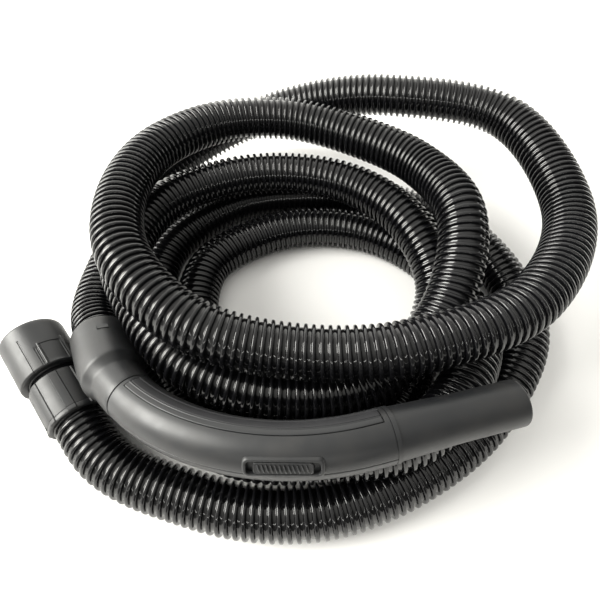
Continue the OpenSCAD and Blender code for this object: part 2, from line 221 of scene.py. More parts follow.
def heading(turn: float, rise: float) -> np.ndarray:
    """The unit vector of a direction.

    Args:
        turn: Degrees from +X towards +Y.
        rise: Degrees above the floor.

    Returns:
        Three numbers.
    """
    a, b = math.radians(turn), math.radians(rise)
    return np.array([math.cos(a) * math.cos(b), math.sin(a) * math.cos(b), math.sin(b)])


def unit(rows: np.ndarray) -> np.ndarray:
    """Scales each row to length one."""
    return rows / np.linalg.norm(rows, axis=-1, keepdims=True)


# Height of the hose's middle where it lies on the floor, pressed flat underneath.
LIE = 16.4


@dataclass(frozen=True)
class Route:
    """The line that the middle of the hose follows, the same one as in the CAD source.

    Attributes:
        diameter: Outside diameter of the hose, which is also its straight run-in.
        place: From the middle of the coil to the middle of the fittings.
        cup_at: The cup's mouth, on its axis.
        cup_turn: Direction of the connector.
        cup_rise: Its rise.
        cup_to_end: From the cup's mouth to the end of the hose in the sleeve.
        rim_at: The handle's rim, on its axis.
        handle_turn: Direction of the handle's collar.
        handle_rise: Its rise.
        rim_to_end: From the rim to the end of the hose in the collar.
        start_deg: Angle before the first station.
        step_deg: Angle between two stations.
        fine: Pieces of curve between two stations.
        centres: Turn centres, one a turn.
        stations: Radius and height of each station, twelve a turn.
    """

    diameter: float = 41.0
    place: tuple[float, ...] = (51.2, 153.4, 0.0)
    cup_at: tuple[float, ...] = (-235.5, -96.0, 29.24)
    cup_turn: float = -50.6
    cup_rise: float = -3.4
    cup_to_end: float = 73.0
    rim_at: tuple[float, ...] = (-167.0, -103.5, 43.0)
    handle_turn: float = -59.0
    handle_rise: float = 20.0
    rim_to_end: float = 18.0
    start_deg: float = 210.0
    step_deg: float = 30.0
    fine: int = 12
    centres: tuple[tuple[float, float], ...] = (
        (10, 5), (-5, 0), (-20, -30), (20, -68), (20, -70), (10, -80),
    )  # fmt: skip
    stations: tuple[tuple[float, float], ...] = (
        (196, 19), (196, 27), (186, 44), (176, 72), (184, 93), (240, 95),
        (236, 92), (204, 103), (163, 102), (141, 96), (144, 107), (144, 115),
        (142, 109), (147, 99), (148, 90), (142, 86), (137, 86), (147, 90),
        (152, 100), (152, 73), (144, 53), (132, 57), (127, 65), (122, 72),
        (136, 68), (138, 62), (127, 60), (122, 60), (122, 61), (121, 61),
        (124, 45), (113, 17), (124, LIE), (117, LIE), (108, LIE), (103, LIE),
        (115, LIE), (125, LIE), (116, LIE), (114, LIE), (119, LIE), (129, LIE),
        (144, 17), (136, 49), (137, 53.5), (131, 53), (142, 43), (146, 19),
        (156, LIE), (174, LIE), (172, LIE), (165, LIE), (178, LIE), (196, LIE),
        (197, LIE), (168, LIE), (153, LIE), (156, LIE), (170, LIE),
    )  # fmt: skip

    def station(self, k: int) -> np.ndarray:
        """The point of a station, counted from one.

        Args:
            k: The station's number.

        Returns:
            Its x, y and z, from the middle of the coil.
        """
        per_turn = 360 / self.step_deg
        share = k / per_turn
        i = min(int(share), len(self.centres) - 2)
        low, high = np.array(self.centres[i]), np.array(self.centres[i + 1])
        centre = low + (high - low) * (share - i)
        radius, height = self.stations[k - 1]
        a = math.radians(self.start_deg - self.step_deg * k)
        return np.array(
            [centre[0] + radius * math.cos(a), centre[1] + radius * math.sin(a), height]
        )

    def line(self) -> np.ndarray:
        """The route as a chain of points.

        Returns:
            Rows of x, y and z in millimetres, in the part's frame.
        """
        leave = -heading(self.handle_turn, self.handle_rise)
        enter = -heading(self.cup_turn, self.cup_rise)
        start = np.array(self.rim_at) - leave * self.rim_to_end
        end = np.array(self.cup_at) - enter * self.cup_to_end
        knots = np.array(
            [
                start + leave * self.diameter,
                *[self.station(k + 1) for k in range(len(self.stations))],
                end - enter * self.diameter,
            ]
        )
        chords = np.linalg.norm(np.diff(knots, axis=0), axis=1)
        slopes = np.empty_like(knots)
        slopes[0], slopes[-1] = leave, enter
        slopes[1:-1] = (knots[2:] - knots[:-2]) / (chords[1:] + chords[:-1])[:, None]
        t = np.arange(self.fine)[:, None] / self.fine
        u = t * t * (3 - 2 * t)
        pieces = [
            knots[i] * (1 - u)
            + knots[i + 1] * u
            + slopes[i] * chords[i] * t * (1 - t) ** 2
            - slopes[i + 1] * chords[i] * t * t * (1 - t)
            for i in range(len(chords))
        ]
        return np.vstack([start, *pieces, knots[-1], end]) + self.place


class Track:
    """A chain of points that can be asked for its place and directions at any length."""

    def __init__(self, line: np.ndarray, ends: tuple[np.ndarray, np.ndarray]) -> None:
        """Measures the chain.

        Args:
            line: Rows of x, y and z.
            ends: The directions at its start and its end.
        """
        steps = np.linalg.norm(np.diff(line, axis=0), axis=1)
        self.line = line
        self.mileage = np.concatenate([[0.0], np.cumsum(steps)])
        self.length = float(self.mileage[-1])
        ahead = unit(np.vstack([ends[0], unit(line[2:] - line[:-2]), ends[1]]))
        side = unit(np.cross([0.0, 0.0, 1.0], ahead))
        self.side, self.over = side, np.cross(ahead, side)

    def sample(self, table: np.ndarray, at: np.ndarray) -> np.ndarray:
        """One of the chain's tables at some lengths along it.

        Args:
            table: Rows that go with the chain's points.
            at: Lengths along the chain.

        Returns:
            One row of three for each length.
        """
        return np.stack([np.interp(at, self.mileage, table[:, k]) for k in range(3)], -1)

    def skin(self, at: np.ndarray, angle: np.ndarray, radius: np.ndarray) -> np.ndarray:
        """Points of a tube round the chain.

        Args:
            at: Length along the chain of each point.
            angle: Angle of each point round it, in radians.
            radius: Its distance from the chain.

        Returns:
            Rows of x, y and z.
        """
        side, over = unit(self.sample(self.side, at)), unit(self.sample(self.over, at))
        out = side * np.cos(angle)[..., None] + over * np.sin(angle)[..., None]
        return self.sample(self.line, at) + out * radius[..., None]


# --------------------------------------------------------------------------
# The hose
# --------------------------------------------------------------------------


def mesh_object(name: str, mesh: bpy.types.Mesh, finish: Moulded) -> bpy.types.Object:
    """Puts a mesh into the scene as a piece with a finish.

    Args:
        name: The piece's name.
        mesh: Its mesh, in metres, in the part's frame.
        finish: Its finish.

    Returns:
        The piece.
    """
    piece = bpy.data.objects.new(name, mesh)
    bpy.context.scene.collection.objects.link(piece)
    mesh.materials.append(finish.make())
    mesh.polygons.foreach_set("use_smooth", [True] * len(mesh.polygons))
    return piece


@dataclass(frozen=True)
class RibbedHose:
    """The hose: a blown tube with one rib wound round it from end to end.

    Attributes:
        route: The line that it follows.
        pitch: From one rib to the next.
        crest: Outside diameter over the ribs.
        depth: Depth of the valleys.
        bore: Diameter of the bore.
        columns: Points round the tube.
        fade: Length over which the rib starts and ends, inside the fittings.
        sag: Height below which the underside is pressed flat by the floor.
        profile: One rib, as shares of the pitch and of the depth.
    """

    route: Route = Route()
    pitch: float = 6.15
    crest: float = 41.0
    depth: float = 3.0
    bore: float = 30.0
    columns: int = 28
    fade: float = 9.0
    sag: float = 2.0
    profile: tuple[tuple[float, float], ...] = (
        (0.16, 0.0), (0.365, 0.0), (0.395, 0.06), (0.415, 0.35), (0.425, 0.62), (0.465, 0.85),
        (0.53, 0.96), (0.61, 0.995), (0.72, 0.995), (0.8, 0.96), (0.865, 0.85), (0.905, 0.62),
        (0.915, 0.35), (0.935, 0.06), (0.965, 0.0),
    )  # fmt: skip

    def track(self) -> Track:
        """The route, ready to be asked for places.

        Returns:
            The track.
        """
        r = self.route
        ends = (-heading(r.handle_turn, r.handle_rise), -heading(r.cup_turn, r.cup_rise))
        return Track(r.line(), ends)

    def mesh(self, track: Track) -> bpy.types.Mesh:
        """Builds the wound rib, the bore and the two ends.

        Args:
            track: The route.

        Returns:
            The mesh, in metres.
        """
        turns = round(track.length / self.pitch)
        pitch = track.length / turns
        share, height = np.array(self.profile).T
        per = len(share)
        rows = per * (turns + 2)
        n = self.columns
        base = (np.arange(rows) // per + share[np.arange(rows) % per] - 1) * pitch
        at = np.clip(base[:, None] + pitch * np.arange(n) / n, 0, track.length)
        inside = np.clip(np.minimum(at, track.length - at) / self.fade, 0, 1)
        inside = inside * inside * (3 - 2 * inside)
        rise = np.tile(height, turns + 2)[:, None] * inside
        radius = self.crest / 2 - self.depth * (1 - rise)
        angle = np.broadcast_to(2 * math.pi * np.arange(n) / n, at.shape)
        outer = track.skin(at, angle, radius)
        low = outer[..., 2]
        outer[..., 2] = np.where(low < self.sag, self.sag * np.exp(low / self.sag - 1), low)
        lining_at = np.linspace(0, track.length, turns + 1)[:, None].repeat(n, 1)
        lining_r = np.full(lining_at.shape, self.bore / 2)
        lining = track.skin(lining_at, angle[: turns + 1], lining_r)
        i, j = np.meshgrid(np.arange(rows - 1), np.arange(n - 1), indexing="ij")
        a = (i * n + j).ravel()
        skin = np.stack([a, a + n, a + n + 1, a + 1], 1)
        i = np.arange(rows - 1 - per)
        seam = np.stack([i * n + n - 1, (i + 2) * n - 1, (i + 1 + per) * n, (i + per) * n], 1)
        first = rows * n
        i, j = np.meshgrid(np.arange(turns), np.arange(n), indexing="ij")
        a, b = first + (i * n + j).ravel(), first + (i * n + (j + 1) % n).ravel()
        bore = np.stack([a, b, b + n, a + n], 1)
        j, k = np.arange(n), (np.arange(n) + 1) % n
        near, far = first, first + turns * n
        top = (rows - 1) * n
        front = np.stack([j, k, near + k, near + j], 1)
        back = np.stack([top + j, far + j, far + k, top + k], 1)
        made = bpy.data.meshes.new("ribbed_hose")
        points = np.vstack([outer.reshape(-1, 3), lining.reshape(-1, 3)]) * MM
        made.from_pydata(points.tolist(), [], np.vstack([skin, seam, bore, front, back]).tolist())
        work = bmesh.new()
        work.from_mesh(made)
        bmesh.ops.remove_doubles(work, verts=work.verts, dist=0.002 * MM)
        bmesh.ops.dissolve_degenerate(work, edges=work.edges, dist=0.001 * MM)
        bmesh.ops.recalc_face_normals(work, faces=work.faces)
        work.to_mesh(made)
        work.free()
        return made

    def build(self) -> bpy.types.Object:
        """Returns:
            The piece.
        """
        track = self.track()
        piece = mesh_object("ribbed_hose", self.mesh(track), BLOWN_EVA)
        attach(piece, Body.HOSE.value)
        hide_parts("hose")
        log.info("ribbed_hose: %.0f mm long", track.length)
        return piece


# --------------------------------------------------------------------------
# The fittings
# --------------------------------------------------------------------------


@dataclass(frozen=True)
class Axis:
    """The middle line of a fitting: straight, then round one bend, then straight.

    A point on a fitting is given by its length along this line, its angle from the
    top towards the inner side of the bend, and its distance from the line.

    Attributes:
        at: Where the line starts, in the part's frame.
        turn: Direction of its start, from +X towards +Y.
        rise: Rise of its start.
        roll: Turn of the fitting about its start.
        lead: Length ahead of the bend.
        bend_r: Radius of the bend.
        bend_deg: Angle of the bend.
    """

    at: tuple[float, float, float]
    turn: float
    rise: float
    roll: float = 0.0
    lead: float = 0.0
    bend_r: float = 178.0
    bend_deg: float = 0.0

    def turned(self) -> np.ndarray:
        """The fitting's three directions, as the columns of a matrix.

        Returns:
            Three by three numbers.
        """
        a, b, c = (math.radians(v) for v in (self.turn, -self.rise, self.roll))
        about_z = np.array(
            [[math.cos(a), -math.sin(a), 0], [math.sin(a), math.cos(a), 0], [0, 0, 1]]
        )
        about_y = np.array(
            [[math.cos(b), 0, math.sin(b)], [0, 1, 0], [-math.sin(b), 0, math.cos(b)]]
        )
        about_x = np.array(
            [[1, 0, 0], [0, math.cos(c), -math.sin(c)], [0, math.sin(c), math.cos(c)]]
        )
        return about_z @ about_y @ about_x

    def points(self, along: np.ndarray, degrees: np.ndarray, radius: np.ndarray) -> np.ndarray:
        """Places on the fitting.

        Args:
            along: Length along the line of each point.
            degrees: Its angle from the top, towards the inner side of the bend.
            radius: Its distance from the line.

        Returns:
            Rows of x, y and z in the part's frame.
        """
        along, degrees, radius = np.broadcast_arrays(along, degrees, radius)
        whole = math.radians(self.bend_deg)
        bend = np.clip((along - self.lead) / self.bend_r, 0.0, whole)
        ahead = np.where(whole > 0, np.minimum(along, self.lead), along)
        past = np.maximum(along - self.lead - self.bend_r * whole, 0.0) * (whole > 0)
        x = ahead + self.bend_r * np.sin(bend) + past * np.cos(bend)
        y = self.bend_r * (1 - np.cos(bend)) + past * np.sin(bend)
        inner, top = np.sin(np.radians(degrees)), np.cos(np.radians(degrees))
        local = np.stack(
            [x - radius * inner * np.sin(bend), y + radius * inner * np.cos(bend), radius * top],
            -1,
        )
        return local @ self.turned().T + self.at


CUFF_AXIS = Axis(at=(-184.3, 57.4, 29.24), turn=-50.6, rise=-3.4)
HANDLE_AXIS = Axis(
    at=(-115.8, 49.9, 43.0), turn=-59.0, rise=20.0, roll=-8.0, lead=27.0, bend_deg=75.0
)


@dataclass(frozen=True)
class Mark:
    """A raised or sunk patch on a round surface.

    Attributes:
        along: Where it starts and ends, along the fitting.
        degrees: Where it starts and ends, round the fitting.
        height: Its height, or its depth where it is below zero.
        edge: Width of its rounded edge.
    """

    along: tuple[float, float]
    degrees: tuple[float, float]
    height: float
    edge: float = 0.35

    def cuts(self, radius: float) -> tuple[list[float], list[float]]:
        """Where a mesh needs its lines, along and round the fitting."""
        turn = math.degrees(self.edge / radius)
        return (
            [v + d for v in self.along for d in (-self.edge / 2, 0.0, self.edge / 2)],
            [v + d for v in self.degrees for d in (-turn / 2, 0.0, turn / 2)],
        )

    def lift(self, along: np.ndarray, degrees: np.ndarray, radius: float) -> np.ndarray:
        """The height that it adds at some points.

        Args:
            along: Length of each point along the fitting.
            degrees: Its angle round it.
            radius: Radius of the surface.

        Returns:
            The height at each point.
        """
        turn = math.degrees(self.edge / radius)
        share = smooth_step(along, self.along[0], self.edge)
        share = share * (1 - smooth_step(along, self.along[1], self.edge))
        share = share * smooth_step(degrees, self.degrees[0], turn)
        return self.height * share * (1 - smooth_step(degrees, self.degrees[1], turn))


def smooth_step(value: np.ndarray, middle: float, width: float) -> np.ndarray:
    """Rises from 0 to 1 across a given width."""
    t = np.clip((value - middle) / width + 0.5, 0.0, 1.0)
    return t * t * (3 - 2 * t)


def spaced(low: float, high: float, step: float, cuts: list[float]) -> np.ndarray:
    """Numbers from low to high, no further apart than a step, with given ones among them.

    Args:
        low: The first number.
        high: The last number.
        step: The most that two of them may be apart.
        cuts: Numbers that have to be among them, where they lie between.

    Returns:
        The numbers, in order.
    """
    even = np.linspace(low, high, max(2, math.ceil((high - low) / step) + 1))
    wanted = [c for c in cuts if low < c < high]
    keep = [v for v in even[1:-1] if all(abs(v - c) > step * 0.2 for c in wanted)]
    return np.unique(np.round([low, *keep, *wanted, high], 4))


def skin_faces(rows: int, columns: int, first: int, joined: bool) -> list[list[int]]:
    """Faces of a closed skin whose columns run round it.

    Args:
        rows: Loops in the skin.
        columns: Points in a loop.
        first: Number of its first point.
        joined: Whether the last loop meets the first; otherwise both are capped.

    Returns:
        Lists of point numbers.
    """
    faces = []
    for i in range(rows if joined else rows - 1):
        a, b = first + i * columns, first + (i + 1) % rows * columns
        for j in range(columns):
            k = (j + 1) % columns
            faces.append([a + j, a + k, b + k, b + j])
    if not joined:
        faces.append([first + j for j in reversed(range(columns))])
        faces.append([first + (rows - 1) * columns + j for j in range(columns)])
    return faces


def skinned(
    name: str, skins: list[tuple[np.ndarray, bool]], finish: Moulded
) -> bpy.types.Object:
    """Makes a piece from closed skins.

    Args:
        name: The piece's name.
        skins: Each skin's points as loops by points by three, and whether its last
            loop meets its first.
        finish: The piece's finish.

    Returns:
        The piece.
    """
    mesh = bpy.data.meshes.new(name)
    points, faces = [], []
    for loops, joined in skins:
        faces += skin_faces(loops.shape[0], loops.shape[1], len(points), joined)
        points += (loops.reshape(-1, 3) * MM).tolist()
    mesh.from_pydata(points, [], faces)
    work = bmesh.new()
    work.from_mesh(mesh)
    bmesh.ops.recalc_face_normals(work, faces=work.faces)
    work.to_mesh(mesh)
    work.free()
    piece = mesh_object(name, mesh, finish)
    mesh.set_sharp_from_angle(angle=math.radians(CREASE))
    return piece


def carve(piece: bpy.types.Object, cutters: list[np.ndarray]) -> None:
    """Cuts closed shapes out of a piece.

    Args:
        piece: The piece.
        cutters: Each cutter's loops, by points by three; both ends are capped.
    """
    finish = piece.data.materials[0]
    for loops in cutters:
        cutter = skinned(piece.name + "_cutter", [(loops, False)], PRESSED_NBR)
        cut = piece.modifiers.new("cut", "BOOLEAN")
        cut.operation, cut.solver, cut.object = "DIFFERENCE", "EXACT", cutter
        bpy.context.view_layer.update()
        carved = piece.evaluated_get(bpy.context.evaluated_depsgraph_get())
        mesh = bpy.data.meshes.new_from_object(carved)
        piece.modifiers.clear()
        piece.data = mesh
        bpy.data.objects.remove(cutter)
    mesh = piece.data
    mesh.materials.clear()
    mesh.materials.append(finish)
    mesh.polygons.foreach_set("material_index", [0] * len(mesh.polygons))
    mesh.polygons.foreach_set("use_smooth", [True] * len(mesh.polygons))
    mesh.set_sharp_from_angle(angle=math.radians(CREASE))


def turned_skin(
    axis: Axis,
    profile: list[tuple[float, float]],
    marks: tuple[Mark, ...],
    marked_r: float,
    step: float,
) -> np.ndarray:
    """Turns a closed profile about a fitting's line.

    Args:
        axis: The fitting's line.
        profile: Length and radius of its corners, in order.
        marks: Raised and sunk patches on it.
        marked_r: Radius from which the patches apply.
        step: Longest distance between two loops.

    Returns:
        Loops by points by three.
    """
    along_cuts, round_cuts = [], []
    for mark in marks:
        a, b = mark.cuts(marked_r)
        along_cuts += a
        round_cuts += [(v + 180) % 360 - 180 for v in b]
    degrees = spaced(-180.0, 180.0, 360 / ROUND, round_cuts)[:-1]
    rows = []
    for (s0, r0), (s1, r1) in zip(profile, profile[1:] + profile[:1]):
        low, high = min(s0, s1), max(s0, s1)
        if s0 == s1:
            rows.append((s0, r0))
            continue
        cuts = along_cuts if min(r0, r1) >= marked_r > 0 else []
        stops = spaced(low, high, step, cuts)
        stops = stops if s0 < s1 else stops[::-1]
        rows += [(v, r0 + (r1 - r0) * (v - s0) / (s1 - s0)) for v in stops[:-1]]
    along, radius = np.array(rows).T[:, :, None]
    grid = np.broadcast_to(radius, (len(rows), len(degrees))).copy()
    for mark in marks:
        grid += np.where(radius >= marked_r, mark.lift(along, degrees, marked_r), 0.0)
    return axis.points(along, degrees, grid)


def rounded_loop(half_l: float, half_w: float, corner: float, per_corner: int = 6) -> np.ndarray:
    """The outline of a rectangle with round corners, as rows of length and width.

    Args:
        half_l: Half its length.
        half_w: Half its width.
        corner: Radius of its corners.
        per_corner: Pieces of curve in a corner.

    Returns:
        Rows of length and width from its middle.
    """
    corner = min(corner, half_l, half_w)
    points = []
    for k, (sx, sy) in enumerate(((1, 1), (-1, 1), (-1, -1), (1, -1))):
        for i in range(per_corner + 1):
            a = math.radians(90 * (k + i / per_corner))
            x = sx * (half_l - corner) + corner * math.cos(a)
            y = sy * (half_w - corner) + corner * math.sin(a)
            points.append((x, y))
    return np.array(points)


@dataclass(frozen=True)
class Connector:
    """The swivel cup for the machine, and the sleeve that holds the hose.

    Attributes:
        cup_len: Length of the cup.
        cup_r: Its outside radius.
        bore_r: Radius of its bore.
        bore_l: Depth of its bore.
        seat_r: Radius of the seat of the seal and the throat ring.
        chamber_x: Where the swivel's chamber starts.
        chamber_r: Radius of that chamber.
        neck_r: Radius of the neck that the cup turns on.
        neck_bore_r: Radius of the airway through it.
        catch_x: Where the neck's catch starts.
        catch_w: Width of the catch.
        catch_r: Its radius.
        sleeve_x: Where the sleeve starts.
        sleeve_end: Where it ends.
        sleeve_r: Its outside radius between the finger bars.
        hold_x: Where the hose ends in it.
        hold_r: Radius of the bore round the hose.
        ring_w: Width of the ring at its open end.
        ring_seat_r: Radius of that ring's seat.
        bars: Finger bars round the sleeve.
        first_bar: Angle of the first one.
        bar_deg: Width of a bar, in degrees.
        bar_h: Height of a bar.
    """

    cup_len: float = 48.0
    cup_r: float = 26.5
    bore_r: float = 23.0
    bore_l: float = 29.5
    seat_r: float = 23.8
    chamber_x: float = 34.0
    chamber_r: float = 20.9
    neck_r: float = 17.2
    neck_bore_r: float = 14.5
    catch_x: float = 36.0
    catch_w: float = 3.7
    catch_r: float = 20.4
    sleeve_x: float = 52.5
    sleeve_end: float = 93.0
    sleeve_r: float = 22.75
    hold_x: float = 73.0
    hold_r: float = 20.6
    ring_w: float = 5.0
    ring_seat_r: float = 21.89
    bars: int = 8
    first_bar: float = 10.5
    bar_deg: float = 16.5
    bar_h: float = 0.8

    def cup(self) -> bpy.types.Object:
        """The cup, with the fine ribs, the slot and the sunk panel of its mould.

        Returns:
            The piece.
        """
        r, end = self.cup_r, self.cup_len
        outside = [
            (0.0, self.bore_r + 0.6), (0.0, r - 2.3), (0.15, r - 1.7), (0.7, r - 0.9),
            (1.6, r - 0.35), (2.8, r - 0.08), (4.2, r), (end - 1.6, r), (end - 0.6, r - 0.3),
            (end - 0.1, r - 0.9), (end, r - 1.4),
        ]  # fmt: skip
        inside = [
            (end, self.chamber_r + 0.3), (end - 0.3, self.chamber_r),
            (self.chamber_x, self.chamber_r), (self.chamber_x, self.seat_r),
            (self.bore_l, self.seat_r), (self.bore_l, self.bore_r), (0.6, self.bore_r),
        ]  # fmt: skip
        middle, rim, past = end / 2, end - 1.5, end + 5
        slots = (Mark((14.0, past), at, -0.55, 0.4) for at in ((-13.2, -11.0), (166.8, 169.0)))
        grooves = (Mark((middle + 5, rim), at, -0.4, 0.4) for at in ((5.4, 7.4), (8.6, 10.4)))
        marks = (
            *slots,
            *grooves,
            Mark((middle + 1, rim), (12.6, 15.0), 0.45, 0.5),  # near rib
            Mark((middle + 2, rim), (16.5, 52.0), -0.5, 0.5),  # sunk panel
            Mark((middle - 2, rim), (57.0, 59.4), 0.4, 0.5),  # far rib
        )
        skin = turned_skin(CUFF_AXIS, outside + inside, marks, r - 0.9, 3.0)
        return skinned("swivel_cup", [(skin, True)], ERODED_ABS)

    def finger_bars(self, low: float, high: float) -> tuple[Mark, ...]:
        """The bars round the sleeve, between two lengths along it.

        Args:
            low: Where they start.
            high: Where they end.

        Returns:
            One mark for each bar.
        """
        half, step = self.bar_deg / 2, 360 / self.bars
        middles = [(self.first_bar + i * step + 180) % 360 - 180 for i in range(self.bars)]
        return tuple(Mark((low, high), (m - half, m + half), self.bar_h, 0.7) for m in middles)

    def sleeve(self) -> bpy.types.Object:
        """The sleeve, its neck and the catch that holds the neck in the cup.

        Returns:
            The piece.
        """
        r, seam = self.sleeve_r, self.sleeve_end - self.ring_w
        profile = [
            (self.catch_x, self.neck_bore_r), (self.catch_x, self.catch_r - 1),
            (self.catch_x + 1, self.catch_r), (self.catch_x + self.catch_w, self.catch_r),
            (self.catch_x + self.catch_w, self.neck_r), (self.sleeve_x, self.neck_r),
            (self.sleeve_x, r - 1.6), (self.sleeve_x + 0.3, r - 0.7),
            (self.sleeve_x + 1.0, r - 0.15), (self.sleeve_x + 1.8, r), (seam - 0.15, r),
            (seam, r - 0.15), (seam, self.ring_seat_r), (self.sleeve_end, self.ring_seat_r),
            (self.sleeve_end, self.hold_r), (self.hold_x, self.hold_r),
            (self.hold_x, self.neck_bore_r),
        ]  # fmt: skip
        marks = self.finger_bars(self.sleeve_x + 1.2, self.sleeve_end + 5)
        skin = turned_skin(CUFF_AXIS, profile, marks, r - 0.2, 3.0)
        return skinned("cuff_sleeve_skin", [(skin, True)], ERODED_ABS)

    def end_ring(self) -> bpy.types.Object:
        """The ring at the sleeve's open end; the bars run on over it.

        Returns:
            The piece.
        """
        r, seam, end = self.sleeve_r, self.sleeve_end - self.ring_w, self.sleeve_end
        profile = [
            (seam + 0.05, self.ring_seat_r + 0.1), (seam + 0.05, r - 0.2), (seam + 0.3, r + 0.02),
            (seam + 1.5, r + 0.3), (end - 1.2, r + 0.5), (end - 0.4, r + 0.3), (end, r - 0.3),
            (end, self.ring_seat_r + 0.1),
        ]  # fmt: skip
        marks = self.finger_bars(seam - 5, end - 0.8)
        skin = turned_skin(CUFF_AXIS, profile, marks, r - 0.01, 2.0)
        return skinned("cuff_ring", [(skin, True)], ERODED_ABS)

    def build(self) -> None:
        """Builds the cup, the sleeve and its ring, and dresses the inner pieces."""
        place_piece(self.cup(), Body.CONNECTOR, "connector_cup")
        place_piece(self.sleeve(), Body.HOSE, "cuff_sleeve")
        place_piece(self.end_ring(), Body.HOSE, "cuff_end_ring")
        dress("connector_seal", PRESSED_NBR)
        dress("throat_ring", DARK_ABS)
        dress("swivel_ring", DARK_ABS)


def place_piece(piece: bpy.types.Object, body: Body, node: str) -> None:
    """Makes a piece ride on a body and stand for a CAD node.

    Args:
        piece: The piece.
        body: The body that it rides on.
        node: The CAD node that it stands for.
    """
    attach(piece, body.value)
    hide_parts(node)
    log.info("%s stands for %s", piece.name, node)


